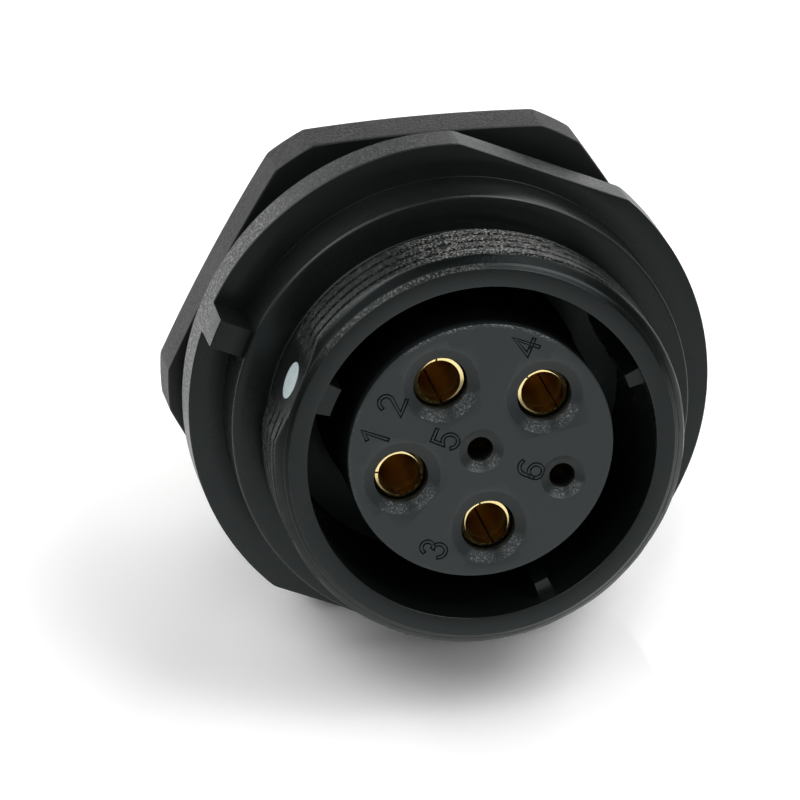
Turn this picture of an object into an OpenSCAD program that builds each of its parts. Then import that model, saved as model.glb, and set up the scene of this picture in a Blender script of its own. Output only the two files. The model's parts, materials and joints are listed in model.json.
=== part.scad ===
// Panel receptacle of a threaded circular connector, with power and signal sockets, gasket and jam nut.
// Each piece is drawn along its own axis, front upwards, with the panel plane at zero height.

/* [Lie] */
// Turn of the shell and its contacts about the axis, counted from key upwards
key_roll = 66; // [0:1:90]

/* [Contact insert] */
// Diameter of the grey contact disc
insert_d = 14; // [13:0.1:17]
// Depth of the disc's face behind the barrel's rim
insert_setback = 0.42; // [0.2:0.02:1.2]
// Width of the collar that stops the insert against the shell's partition
insert_collar_w = 1.3; // [1:0.1:2]
// Thickness of that collar
insert_collar_t = 3; // [2.4:0.1:4]
// Radial clearance of the insert and the rear insulator in the shell
insert_fit = 0.1; // [0.05:0.01:0.2]
// Thickness of the rear insulator
insulator_t = 3.8; // [2.5:0.1:5]
// Thickness of the O-ring's cord
seal_cord = 0.96; // [0.7:0.02:1.1]

/* [Coupling barrel] */
// Free space round the insert for the plug's nose
plug_gap = 2.2; // [1.5:0.1:3]
// Wall of the barrel from its bore to the thread's crest
barrel_wall = 1.65; // [1.4:0.05:2.5]
// Length of the barrel in front of the hub
barrel_len = 5.43; // [4:0.01:9]
// Depth of the space behind the rim
cavity_depth = 9.2; // [7:0.1:11]
// Depth of the relief and the plain strip under the coupling thread's crest
thread_depth = 0.5; // [0.3:0.05:0.7]
// Distance between the coupling thread's grooves
coupling_step = 0.925; // [0.8:0.005:1.2]
// Depth of those grooves
coupling_groove = 0.3; // [0.2:0.02:0.4]
// Length of the relief between the thread and the hub
relief_len = 0.7; // [0.3:0.1:1.2]
// Length of the taper that leads on to the thread
lead_len = 1; // [0.5:0.1:1.5]
// Fall of that taper from the thread's crest
lead_drop = 0.4; // [0.2:0.05:0.7]
// Length of the smooth bevel between the taper and the rim
rim_bevel = 0.5; // [0.2:0.05:0.8]
// Fall of that bevel
rim_drop = 0.25; // [0.1:0.05:0.4]
// Width of the smooth strip across the thread at the key
strip_w = 3.4; // [2.5:0.1:5]

/* [Keys in the barrel] */
// Width of the master key
master_key_w = 1.7; // [1.2:0.1:2.5]
// Height of the master key above the bore
master_key_h = 0.8; // [0.5:0.05:1.2]
// Depth of its front end behind the rim
master_key_setback = 0.12; // [0.05:0.01:1]
// Width of the two side keys
side_key_w = 0.85; // [0.6:0.05:1.5]
// Height of the side keys above the bore
side_key_h = 0.85; // [0.5:0.05:1.2]
// Depth of their front ends behind the rim
side_key_setback = 0.75; // [0.2:0.05:2]
// Angle from the master key to each side key
side_key_angle = 135.5; // [100:0.5:150]

/* [Flange] */
// Height of the hub in front of the flange
hub_h = 3.1; // [2:0.1:5]
// Step from the thread's crest out to the hub
hub_step = 1.35; // [0.8:0.05:2]
// Radius of the fillet at the foot of the hub
hub_fillet = 0.45; // [0.2:0.05:0.8]
// Step from the hub out to the flange's rim
flange_ledge = 1.8; // [1.5:0.1:3]
// Thickness of the flange
flange_t = 2.3; // [2:0.1:4]
// Small chamfer on the shell's edges
edge_chamfer = 0.15; // [0.05:0.05:0.4]
// Depth of the two flats cut into the rim
flat_depth = 0.88; // [0.3:0.02:1]
// Width of the tab on the flange
tab_w = 1.6; // [1:0.1:3]
// Height of the tab in front of the flange
tab_h = 2.6; // [1:0.1:3]

/* [Rear barrel] */
// Wall from the rear bore to the panel thread's crest
rear_wall = 2.1; // [1.6:0.1:3]
// Length of the rear barrel behind the flange
rear_len = 12; // [9.5:0.1:18]
// Chamfer at its end
rear_chamfer = 0.6; // [0.3:0.1:1]
// Pitch of the panel thread
panel_pitch = 1; // [0.9:0.05:1.5]
// Depth of the panel thread
panel_groove = 0.42; // [0.3:0.02:0.5]
// Plain length between the flange and the panel thread
panel_plain = 1.5; // [1:0.1:2.5]
// Thickness of the partition that the insert stops against
partition_t = 1.8; // [1.2:0.1:2.5]
// Depth of the groove for the retaining ring
ring_groove = 0.65; // [0.4:0.05:1]
// Thickness of the retaining ring
ring_t = 0.7; // [0.5:0.05:1]
// Reach of the ring inwards from the rear bore
ring_reach = 0.6; // [0.4:0.05:1]
// Angle of the gap in the ring
ring_gap_angle = 50; // [30:5:90]

/* [Panel gasket] */
// Radial width of the gasket
gasket_w = 1.7; // [1:0.1:2]
// Thickness of the gasket
gasket_t = 1.5; // [1:0.1:1.8]
// Height of the gasket behind the flange
gasket_proud = 0.3; // [0.1:0.05:0.6]
// Radial clearance of the gasket on the barrel and in its recess
gasket_fit = 0.1; // [0.05:0.01:0.2]
// Axial clearance of the gasket in its recess
gasket_seat = 0.05; // [0.02:0.01:0.1]

/* [Panel nut] */
// Wall of the nut from the thread to the middle of its flats
nut_wall = 2.7; // [2:0.1:4]
// Rise of the slightly bowed flats from their ends to their middle
nut_bow = 0.2; // [0.05:0.05:0.4]
// Thickness of the nut
nut_t = 2.8; // [2:0.1:5]
// Distance from the flange to the nut
nut_gap = 2.1; // [2.05:0.05:4]
// Height of the round corners above the middle of the flats
nut_corner = 1.2; // [0.6:0.1:1.6]
// Radial clearance of the nut on the panel thread
nut_fit = 0.08; // [0.03:0.01:0.1]
// Chamfer at the ends of the nut's bore
nut_chamfer = 0.5; // [0.2:0.1:0.8]

/* [Power sockets] */
// Diameter of the circle through the power sockets
power_circle_d = 8.7; // [8:0.1:9.4]
// Angle from the key to the two sockets beside it
power_near_angle = 38.5; // [36:0.5:44]
// Angle from the key to the two sockets away from it
power_far_angle = 118; // [112:0.5:124]
// Bore for the plug's power pins
power_bore_d = 2.26; // [1.8:0.02:2.5]
// Wall of a power socket
power_wall = 0.24; // [0.15:0.01:0.35]
// Depth of a power socket's bore
power_depth = 8; // [6:0.1:8.5]
// Depth of a power socket's lip behind the insert's face
power_setback = 0.36; // [0.3:0.02:0.8]
// Width of the shallow dish round a power hole
power_dish_d = 4.1; // [3.4:0.1:4.3]
// Length of a power socket's tail behind the rear insulator
power_tail = 6.5; // [5:0.1:10]

/* [Signal sockets] */
// Distance of signal socket 6 from the axis
signal_offset = 4.7; // [4.4:0.1:5]
// Bore for the plug's signal pins
signal_bore_d = 1.04; // [0.8:0.02:1.2]
// Wall of a signal socket
signal_wall = 0.33; // [0.2:0.01:0.45]
// Depth of a signal socket's bore
signal_depth = 6; // [4:0.1:7]
// Depth of a signal socket's lip behind the insert's face
signal_setback = 1.6; // [0.6:0.05:2]
// Diameter of the entry hole in the insert's face
signal_entry_d = 1.36; // [1.25:0.02:1.6]
// Width of the shallow dish round a signal hole
signal_dish_d = 2.4; // [1.7:0.1:2.6]
// Length of a signal socket's tail behind the rear insulator
signal_tail = 5.5; // [4:0.1:9]

/* [All sockets] */
// Depth of the dishes at the middle, if they had no hole
dish_depth = 0.4; // [0.2:0.05:0.6]
// Radial clearance of the sockets in the insulators
socket_fit = 0.06; // [0.03:0.01:0.1]
// Width of the slots that split a socket, whose tines are closed in at the lip
slot_w = 0.1; // [0.06:0.01:0.3]
// Width of the flat lip round a socket's mouth
lip_w = 0.13; // [0.06:0.01:0.14]
// Depth of the cone that leads a pin from the lip into the bore
lead_in = 0.28; // [0.1:0.02:0.5]
// Share of the bore's depth that is split
slot_share = 0.7; // [0.4:0.05:0.85]
// Step from a socket's body to its collar
collar_step = 0.39; // [0.25:0.01:0.5]
// Length of the collar, half in each insulator
collar_len = 2; // [1.2:0.1:2.4]
// Wall of the solder cups
cup_wall = 0.3; // [0.2:0.02:0.36]
// Depth of the solder cups
cup_depth = 4; // [2.5:0.1:4.5]
// Length of the cups that is cut open on one side
cup_open = 2.6; // [1:0.1:3.5]

/* [Hidden] */
$fn = 128;
// Overlap that joins two shapes of one piece, and overshoot of a cut
joined = 0.2;

insert_r = insert_d / 2;
bore_r = insert_r + plug_gap;
thread_r = bore_r + barrel_wall;
root_r = thread_r - thread_depth;
hub_r = thread_r + hub_step;
flange_r = hub_r + flange_ledge;
flat_half = flange_r - flat_depth;
hub_z = flange_t + hub_h;
rim_z = hub_z + barrel_len;
floor_z = rim_z - cavity_depth;
face_z = rim_z - insert_setback;

partition_z = floor_z - partition_t;
collar_z = partition_z - insert_collar_t;
insulator_z = collar_z - insulator_t;
collar_r = insert_r + insert_collar_w;
rear_bore_r = collar_r + insert_fit;
panel_thread_r = rear_bore_r + rear_wall;
seal_groove_r = rear_bore_r - seal_cord;
// Play of the O-ring between its groove and the bore, and of the retaining ring in its groove
seal_play = 0.02;
ring_play = 0.05;
seal_ring_r = rear_bore_r - seal_cord / 2;
seal_groove_w = seal_cord + 2 * seal_play;
ring_groove_r = rear_bore_r + ring_groove;
seal_z = partition_z - insert_collar_t / 2;

gasket_in_r = panel_thread_r + gasket_fit;
gasket_out_r = gasket_in_r + gasket_w;
recess_r = gasket_out_r + gasket_fit;
recess_depth = gasket_t - gasket_proud + gasket_seat;

nut_half = panel_thread_r + nut_wall;
nut_corner_r = nut_half + nut_corner;
// Radius of the bowed flats, which end on the round corners
nut_flat_end = nut_half - nut_bow;
nut_bow_r = (pow(nut_corner_r, 2) - pow(nut_flat_end, 2) + pow(nut_bow, 2)) / (2 * nut_bow);
nut_bore_r = panel_thread_r + nut_fit;

power_r = power_bore_d / 2 + power_wall;
signal_r = signal_bore_d / 2 + signal_wall;
signal_lip_z = face_z - signal_setback;
// Slope of a thread's flanks, and flat at the root of each groove as a share of the pitch
thread_flank = 30;
panel_root_share = 0.25;
coupling_root_share = 0.05;
// Turn of each socket's slots, as the sockets were pressed in
slot_turn = [-24.5, -22.5, 12, 93, 84, 84];
// Turn from the key and distance from the axis, for each contact number
contact_turn = [power_near_angle, -power_near_angle, power_far_angle, -power_far_angle, 0, 180];
contact_reach = [for (n = [1:6]) n < 5 ? power_circle_d / 2 : n == 5 ? 0 : signal_offset];
POWER = [1:4];
SIGNAL = [5:6];

shell_colour = "#1d2021";
insert_colour = "#454b4e";
insulator_colour = "#2a2d2f";
gold_colour = "#c9952f";
rubber_colour = "#151515";
steel_colour = "#8d9092";

// Lays a piece that is drawn front upwards on its side, so that its front looks along -Y
module laid() {
    rotate([90, 0, 0])
        children();
}

// Turns a piece with the shell, whose key is drawn along +Y
module keyed() {
    laid()
        rotate([0, 0, key_roll])
            children();
}

// Ring between two radii, from height z upwards
module ring(inner, outer, z, height) {
    translate([0, 0, z])
        difference() {
            cylinder(r = outer, h = height);
            translate([0, 0, -joined])
                cylinder(r = inner, h = height + 2 * joined);
        }
}

// Moves its children to the place of a contact
module at_contact(n) {
    rotate([0, 0, contact_turn[n - 1]])
        translate([0, contact_reach[n - 1], 0])
            children();
}

// Points of an arc about a centre, from one angle to another
function arc(cx, cy, r, from, to, steps = 6) =
    [for (i = [0:steps]) let (a = from + (to - from) * i / steps) [cx + r * cos(a), cy + r * sin(a)]];

// Flange with its chamfered edges and two flats
module flange() {
    inner_r = flange_r - edge_chamfer;
    intersection() {
        rotate_extrude()
            polygon([[0, 0], [inner_r, 0], [flange_r, edge_chamfer],
                     [flange_r, flange_t - edge_chamfer], [inner_r, flange_t], [0, flange_t]]);
        translate([-flat_half, -flange_r, 0])
            cube([2 * flat_half, 2 * flange_r, flange_t]);
    }
}

// Hub, coupling barrel and rear barrel as one turned outline
module barrels() {
    fillet_r = hub_r + hub_fillet;
    fillet_z = flange_t + hub_fillet;
    lead_r = thread_r - lead_drop;
    lead_z = rim_z - rim_bevel;
    rotate_extrude()
        polygon(concat(
            [[0, -rear_len], [panel_thread_r - rear_chamfer, -rear_len],
             [panel_thread_r, -rear_len + rear_chamfer], [panel_thread_r, joined], [fillet_r, joined]],
            [[fillet_r, flange_t - joined]],
            arc(fillet_r, fillet_z, hub_fillet, 270, 180),
            [[hub_r, hub_z - edge_chamfer], [hub_r - edge_chamfer, hub_z],
             [root_r, hub_z], [root_r, hub_z + relief_len],
             [thread_r, hub_z + relief_len + thread_depth],
             [thread_r, lead_z - lead_len], [lead_r, lead_z],
             [lead_r - rim_drop, rim_z], [0, rim_z]]));
}

// Grooves of a thread on a barrel, drawn as rings one pitch apart between two heights
module thread_rings(crest_r, pitch, depth, root_w, low_z, high_z) {
    open_w = root_w + 2 * (depth + joined) * tan(thread_flank);
    count = floor((high_z - low_z) / pitch);
    first_z = (low_z + high_z - (count - 1) * pitch) / 2;
    for (k = [0:count - 1])
        rotate_extrude()
            translate([crest_r, first_z + k * pitch])
                polygon([[-depth, -root_w / 2], [joined, -open_w / 2],
                         [joined, open_w / 2], [-depth, root_w / 2]]);
}

// Tab that stands on the flange between the hub and the rim
module tab() {
    intersection() {
        translate([-tab_w / 2, hub_r - joined, flange_t - joined])
            cube([tab_w, flange_r, tab_h + joined]);
        cylinder(r = flange_r - edge_chamfer / 2, h = rim_z);
    }
}

// Key on the bore's wall, down to the floor of the cavity
module bore_key(width, height, setback) {
    intersection() {
        translate([-width / 2, bore_r - height, floor_z - joined])
            cube([width, height + joined, rim_z - setback - floor_z + joined]);
        cylinder(r = bore_r + joined, h = rim_z);
    }
}

module receptacle_shell() {
    color(shell_colour)
        keyed() {
            difference() {
                union() {
                    flange();
                    barrels();
                    tab();
                }
                translate([0, 0, floor_z])
                    cylinder(r = bore_r, h = cavity_depth + joined);
                translate([0, 0, rim_z - edge_chamfer])
                    cylinder(r1 = bore_r, r2 = bore_r + edge_chamfer + joined, h = edge_chamfer + joined);
                translate([0, 0, partition_z - joined])
                    cylinder(r = insert_r + insert_fit, h = partition_t + 2 * joined);
                translate([0, 0, -rear_len - joined])
                    cylinder(r = rear_bore_r, h = rear_len + partition_z + joined);
                translate([0, 0, insulator_z - ring_t - ring_play])
                    cylinder(r = ring_groove_r, h = ring_t + ring_play);
                ring(panel_thread_r, recess_r, -joined, recess_depth + joined);
                thread_rings(panel_thread_r, panel_pitch, panel_groove, panel_root_share * panel_pitch,
                             -rear_len + rear_chamfer, -panel_plain);
                thread_rings(thread_r, coupling_step, coupling_groove, coupling_root_share * coupling_step,
                             hub_z + relief_len + thread_depth, rim_z - rim_bevel);
                translate([-strip_w / 2, root_r, hub_z])
                    cube([strip_w, thread_depth + joined, barrel_len]);
            }
            bore_key(master_key_w, master_key_h, master_key_setback);
            for (side = [-1, 1])
                rotate([0, 0, side * side_key_angle])
                    bore_key(side_key_w, side_key_h, side_key_setback);
        }
}

// Shallow dish, part of a sphere, round a hole in the insert's face
module dish(width, depth) {
    ball_r = (width * width / 4 + depth * depth) / (2 * depth);
    translate([0, 0, face_z + ball_r - depth])
        sphere(r = ball_r);
}

// Pocket for half of a contact's collar, on one side of the joint between the insulators
module collar_pocket(body_r, z) {
    translate([0, 0, z])
        cylinder(r = body_r + collar_step + socket_fit, h = collar_len / 2 + socket_fit);
}

module contact_insert() {
    step_z = signal_lip_z + socket_fit;
    color(insert_colour)
        keyed()
            difference() {
                union() {
                    translate([0, 0, partition_z - joined])
                        cylinder(r = insert_r, h = face_z - partition_z + joined);
                    translate([0, 0, collar_z])
                        cylinder(r = collar_r, h = insert_collar_t);
                }
                ring(seal_groove_r, collar_r + joined, seal_z - seal_groove_w / 2, seal_groove_w);
                for (n = POWER)
                    at_contact(n) {
                        translate([0, 0, collar_z - joined])
                            cylinder(r = power_r + socket_fit, h = face_z - collar_z + 2 * joined);
                        collar_pocket(power_r, collar_z);
                        dish(power_dish_d, dish_depth);
                    }
                for (n = SIGNAL)
                    at_contact(n) {
                        translate([0, 0, collar_z - joined])
                            cylinder(r = signal_entry_d / 2, h = face_z - collar_z + 2 * joined);
                        translate([0, 0, collar_z - joined])
                            cylinder(r = signal_r + socket_fit, h = step_z - collar_z + joined);
                        collar_pocket(signal_r, collar_z);
                        dish(signal_dish_d, dish_depth);
                    }
            }
}

module insert_seal() {
    color(rubber_colour)
        laid()
            translate([0, 0, seal_z])
                rotate_extrude()
                    translate([seal_ring_r, 0])
                        circle(d = seal_cord - 2 * seal_play);
}

module rear_insulator() {
    color(insulator_colour)
        keyed()
            difference() {
                translate([0, 0, insulator_z])
                    cylinder(r = collar_r, h = insulator_t);
                for (n = [1:6])
                    at_contact(n) {
                        body_r = n < 5 ? power_r : signal_r;
                        translate([0, 0, insulator_z - joined])
                            cylinder(r = body_r + socket_fit, h = insulator_t + 2 * joined);
                        collar_pocket(body_r, collar_z - collar_len / 2 - socket_fit);
                    }
            }
}

module retaining_ring() {
    color(steel_colour)
        keyed()
            difference() {
                ring(rear_bore_r - ring_reach, ring_groove_r - ring_play, insulator_z - ring_t, ring_t);
                translate([0, 0, insulator_z - ring_t - joined])
                    linear_extrude(ring_t + 2 * joined)
                        polygon([[0, 0], for (side = [-1, 1])
                            2 * rear_bore_r * [side * sin(ring_gap_angle / 2), -cos(ring_gap_angle / 2)]]);
            }
}

module panel_gasket() {
    color(rubber_colour)
        laid()
            ring(gasket_in_r, gasket_out_r, -gasket_proud, gasket_t);
}

module panel_nut() {
    color(shell_colour)
        laid()
            translate([0, 0, -nut_gap - nut_t])
                difference() {
                    intersection() {
                        cylinder(r = nut_corner_r, h = nut_t);
                        intersection_for (turn = [0:60:300])
                            rotate([0, 0, turn])
                                translate([0, nut_half - nut_bow_r, 0])
                                    cylinder(r = nut_bow_r, h = nut_t, $fn = 720);
                    }
                    translate([0, 0, -joined])
                        cylinder(r = nut_bore_r, h = nut_t + 2 * joined);
                    translate([0, 0, nut_t - nut_chamfer])
                        cylinder(r1 = nut_bore_r, r2 = nut_bore_r + nut_chamfer, h = nut_chamfer);
                    cylinder(r1 = nut_bore_r + nut_chamfer, r2 = nut_bore_r, h = nut_chamfer);
                }
}

// Turned contact: split socket in front, collar between the insulators and solder cup behind
module socket(n, body_r, bore_d, depth, setback, tail) {
    lip_z = face_z - setback;
    end_z = insulator_z - tail;
    slot_len = depth * slot_share;
    difference() {
        union() {
            translate([0, 0, end_z])
                cylinder(r = body_r, h = lip_z - end_z);
            translate([0, 0, collar_z - collar_len / 2])
                cylinder(r = body_r + collar_step, h = collar_len);
        }
        translate([0, 0, lip_z - depth])
            cylinder(d = bore_d, h = depth + joined);
        translate([0, 0, lip_z - lead_in])
            cylinder(r1 = bore_d / 2, r2 = body_r - lip_w, h = lead_in);
        rotate([0, 0, slot_turn[n - 1]])
            translate([-slot_w / 2, -body_r - joined, lip_z - slot_len])
                cube([slot_w, 2 * (body_r + joined), slot_len + joined]);
        translate([0, 0, end_z - joined])
            cylinder(r = body_r - cup_wall, h = cup_depth + joined);
        translate([-body_r - joined, 0, end_z - joined])
            cube([2 * (body_r + joined), body_r + joined, cup_open + joined]);
    }
}

module power_socket(n) {
    color(gold_colour)
        keyed()
            at_contact(n)
                socket(n, power_r, power_bore_d, power_depth, power_setback, power_tail);
}

module signal_socket(n) {
    color(gold_colour)
        keyed()
            at_contact(n)
                socket(n, signal_r, signal_bore_d, signal_depth, signal_setback, signal_tail);
}

receptacle_shell();
contact_insert();
insert_seal();
rear_insulator();
retaining_ring();
panel_gasket();
panel_nut();
for (n = POWER) power_socket(n);
for (n = SIGNAL) signal_socket(n);
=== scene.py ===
"""Looks of a panel-mount threaded circular connector receptacle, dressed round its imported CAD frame."""
import json
import math

import bmesh
import bpy
import numpy as np
from mathutils import Matrix, Vector


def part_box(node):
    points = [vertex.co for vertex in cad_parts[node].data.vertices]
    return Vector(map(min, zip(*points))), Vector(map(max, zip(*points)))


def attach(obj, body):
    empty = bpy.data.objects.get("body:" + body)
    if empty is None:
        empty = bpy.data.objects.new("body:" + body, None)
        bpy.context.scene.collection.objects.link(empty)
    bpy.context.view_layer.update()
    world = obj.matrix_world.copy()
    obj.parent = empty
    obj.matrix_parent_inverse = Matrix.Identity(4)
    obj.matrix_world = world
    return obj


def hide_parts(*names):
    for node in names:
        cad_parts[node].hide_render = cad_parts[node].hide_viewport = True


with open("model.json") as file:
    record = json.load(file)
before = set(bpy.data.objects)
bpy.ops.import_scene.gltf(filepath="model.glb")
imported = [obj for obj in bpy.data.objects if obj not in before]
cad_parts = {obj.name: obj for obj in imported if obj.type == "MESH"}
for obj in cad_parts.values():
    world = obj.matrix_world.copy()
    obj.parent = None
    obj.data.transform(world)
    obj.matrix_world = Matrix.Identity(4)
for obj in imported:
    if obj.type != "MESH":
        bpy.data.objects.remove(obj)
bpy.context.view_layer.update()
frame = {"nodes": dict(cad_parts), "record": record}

# Sizes in millimetres. Heights run along the axis from the flange's rear face, forwards positive.
MM = 0.001
mounts = {mount["name"]: mount for mount in frame["record"]["mounts"]}
shell_low, shell_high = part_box("receptacle_shell")
insert_low, insert_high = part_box("contact_insert")
nut_low, nut_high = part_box("panel_nut")

RIM_Z = -shell_low.y / MM
REAR_Z = -shell_high.y / MM
FACE_Z = -insert_low.y / MM
COLLAR_Z = -insert_high.y / MM
NUT_FRONT_Z = -nut_low.y / MM
NUT_REAR_Z = -nut_high.y / MM

# Directions round the axis, in degrees from +X towards +Z
KEY = 156.0
FLAT_TURN = KEY - 90.0
SIDE_KEY_TURN = 135.5
NUT_FLAT = 90.0

# Flange with two flats, hub and tab; face radii are rings of points on plane faces
FLANGE_R = 14.0
FLANGE_T = 2.3
FLANGE_EDGE = 0.06
FLANGE_FACE_R = 13.0
FLAT_HALF = 13.12
FLAT_SOFTNESS = 0.08
HUB_R = 12.2
HUB_Z = 5.4
HUB_FILLET = 0.02
HUB_EDGE = 0.22
HUB_FACE_R = 11.7
TAB_HALF = 0.8
TAB_Z = 4.9
TAB_LEVEL = 2.6
TAB_EASE = 1.4
CHAMFER = 0.15
EDGE = 0.07

# Coupling barrel with its keys, and the strip over the master key
THREAD_R = mounts["coupling_thread"]["dims"]["r_mm"]
ROOT_R = 10.35
ROOT_FACE_R = ROOT_R + 0.2
RELIEF_LEN = 0.7
RELIEF_FILLET = 0.12
LEAD_R = 10.45
LEAD_LEN = 0.42
RIM_BEVEL = 0.26
RIM_DROP = 0.28
RIM_STEP = 0.05
RIM_EDGE = 0.05
BORE_R = 9.2
FLOOR_Z = 1.63
STRIP_FLAT = 10.43
STRIP_HALF = 1.1
MASTER_KEY = {"turn": KEY - 1.2, "half": 0.85, "height": 0.8, "front": RIM_Z - 0.16}
SIDE_KEY = {"half": 0.425, "height": 0.85, "front": RIM_Z - 0.75}
SIDE_TURNS = (KEY - SIDE_KEY_TURN, KEY + SIDE_KEY_TURN)
KEYS = (MASTER_KEY, *({"turn": turn, **SIDE_KEY} for turn in SIDE_TURNS))
KEY_STEP = 0.001
KEY_BEVEL = 0.04

# Rear barrel, and the recess of the gasket behind the flange
PANEL_R = 10.5
PARTITION_Z = -0.17
REAR_BORE_R = 8.4
REAR_CHAMFER = 0.6
REAR_RUN = 1.0
RING_GROOVE_R = 9.05
RING_GROOVE_Z = (-6.97, -7.72)
RECESS_R = 12.4
RECESS_DEPTH = 1.25

# Three-start coupling thread and single-start panel thread, both right-handed
COUPLING_STEP = 0.925
COUPLING_LEAD = 3 * COUPLING_STEP
COUPLING_PHASE = 7.45
COUPLING_GROOVE = 0.34
COUPLING_START = HUB_Z + RELIEF_LEN
COUPLING_END = RIM_Z - RIM_BEVEL
GROOVE_HALF = 0.16
GROOVE_WALL = 0.34
PANEL_PITCH = 1.0
PANEL_DEPTH = 0.42
PANEL_CLEARANCE = 0.1
PANEL_ROW = PANEL_PITCH / 9
PANEL_END = -0.5
PANEL_FADE = 0.4

NUT_HALF = 13.2
NUT_LAND = NUT_HALF - 1.0
NUT_BOW = 0.2
NUT_CORNER_R = 14.4
NUT_CHAMFER = 0.5
NUT_EDGE = 0.1
NUT_SOFTNESS = 0.06

# Contact insert, and the groove of its seal
INSERT_R = 7.0
INSERT_FIT = 0.1
INSERT_EDGE = 0.09
INSERT_FACE_R = (2.0, 4.0, 6.0, 6.7)
INSERT_EDGE_R = 6.78
COLLAR_R = 8.3
COLLAR_FACE_R = 4.0
SEAL_R = 7.44
SEAL_HALF = 0.5
SEAL_Z = PARTITION_Z - 1.5
DISH_DEPTH = 0.4
DISH_OVER = 0.08
ENGRAVED = 0.18

# Contacts, with the directions of their slots, solder cups and lead-ins by number
POWER = {"kind": "power", "r": 1.37, "bore": 1.13, "depth": 8.0, "lip": FACE_Z - 0.64, "end": -13.47,
         "dish": 2.05, "hole": 1.43}
SIGNAL = {"kind": "signal", "r": 0.85, "bore": 0.52, "depth": 6.0, "lip": FACE_Z - 2.3, "end": -12.47,
          "dish": 1.2, "hole": 0.68}
CONTACTS = {1: POWER, 2: POWER, 3: POWER, 4: POWER, 5: SIGNAL, 6: SIGNAL}
CONTACT_COLLAR = 0.39
COLLAR_HALF = 1.0
CONTACT_EDGE = 0.08
DRILL_POINT = 0.55
FIT = 0.06
LIP_FALL = 0.18
LIP_ROW = 0.001
LEAD_IN = {"width": 0.175, "fall": 0.05, "reach": 115.0, "fade": 90.0}
LEAD_IN_TURN = {1: 138.0, 2: 35.0, 3: 85.0, 4: 150.0, 5: 90.0, 6: 90.0}
SLOT_W = 0.1
SLOT_SHARE = 0.7
SLOT_TURN = {1: -10.0, 2: 95.0, 3: 106.0, 4: 131.0, 5: 60.0, 6: 60.0}
CUP_WALL = 0.3
CUP_DEPTH = 4.0
CUP_OPEN = 2.6
CUP_POINT = 0.5
CUP_TURN = {1: 38.5, 2: -38.5, 3: 118.0, 4: -118.0, 5: 0.0, 6: 180.0}

# Meshes: merging distance, angles of sharp edges, spacing of columns and cutters' overlap
MERGED = 0.002
SHARP = 38.0
SHARP_INSERT = 30.0
SHARP_SOCKET = 32.0
SHARP_DOT = 50.0
COLUMN_STEP = 1.5
COLUMN_CLOSE = 0.12
CLEAR = 1.0


# Small helpers

def smooth(value):
    """Smooth step of values between 0 and 1."""
    value = np.clip(value, 0.0, 1.0)
    return value * value * (3.0 - 2.0 * value)


def soft_min(first, second, softness):
    """Lesser of two values, rounded off where they meet."""
    meet = np.clip(softness - np.abs(first - second), 0.0, None)
    return np.minimum(first, second) - meet * meet / (4 * softness)


def rounded(points, radius, steps=3):
    """Outline with each inner corner rounded."""
    points = [np.array(point, float) for point in points]
    made = [points[0]]
    for before, corner, after in zip(points, points[1:], points[2:]):
        back, ahead = before - corner, after - corner
        back_len, ahead_len = np.linalg.norm(back), np.linalg.norm(ahead)
        cut = min(radius, 0.45 * back_len, 0.45 * ahead_len)
        start = corner + back * cut / back_len
        end = corner + ahead * cut / ahead_len
        for share in np.linspace(0.0, 1.0, steps + 1):
            bend = (1 - share) ** 2 * start + 2 * share * (1 - share) * corner + share ** 2 * end
            made.append(bend)
    made.append(points[-1])
    return made


def between(start, end, count):
    """Points between two points, both ends left out."""
    return [tuple(row) for row in np.linspace(start, end, count + 2)[1:-1]]


def turned_from(angle, centre):
    """Signed angle in degrees from a direction, between -180 and 180."""
    return (angle - centre + 180.0) % 360.0 - 180.0


def patch(angle, strength, middle, reach, fade):
    """Strength of a finish round a direction, falling to 0 at its reach over the fade, in degrees."""
    return strength * smooth((reach - np.abs(turned_from(angle, middle))) / fade)


def half_angle(half, radius):
    """Half angle in degrees of a strip of a given half width."""
    return math.degrees(math.asin(half / radius))


def heading(turn):
    """Unit vectors (x, z) along a direction in degrees and to its left."""
    turn = math.radians(turn)
    along = np.array([math.cos(turn), math.sin(turn)])
    return along, np.array([-along[1], along[0]])


def from_key(right, ahead):
    """Place (x, z) of a point given to the right of the key's direction and along it."""
    side, along = heading(KEY - 90.0)
    return tuple(right * side + ahead * along)


def link(thing):
    bpy.context.scene.collection.objects.link(thing)
    return thing


def clean_mesh(mesh, sharp_angle):
    """Joins points that coincide, turns faces outwards and shades smooth with sharp edges."""
    shape = bmesh.new()
    shape.from_mesh(mesh)
    bmesh.ops.remove_doubles(shape, verts=shape.verts, dist=MERGED * MM)
    bmesh.ops.recalc_face_normals(shape, faces=shape.faces)
    shape.to_mesh(mesh)
    shape.free()
    mesh.shade_smooth()
    mesh.set_sharp_from_angle(angle=math.radians(sharp_angle))


def closed_piece(name, points, faces, sharp_angle=SHARP):
    """Closed piece from points in millimetres and their faces."""
    mesh = bpy.data.meshes.new(name)
    mesh.from_pydata([Vector(point) * MM for point in points], [], faces)
    clean_mesh(mesh, sharp_angle)
    return link(bpy.data.objects.new(name, mesh))


def mark(mesh, name, values):
    """Sets a named value on each point of a mesh, which the materials read."""
    layer = mesh.attributes.new(name, "FLOAT", "POINT")
    layer.data.foreach_set("value", np.ascontiguousarray(values, np.float32).ravel())


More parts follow.
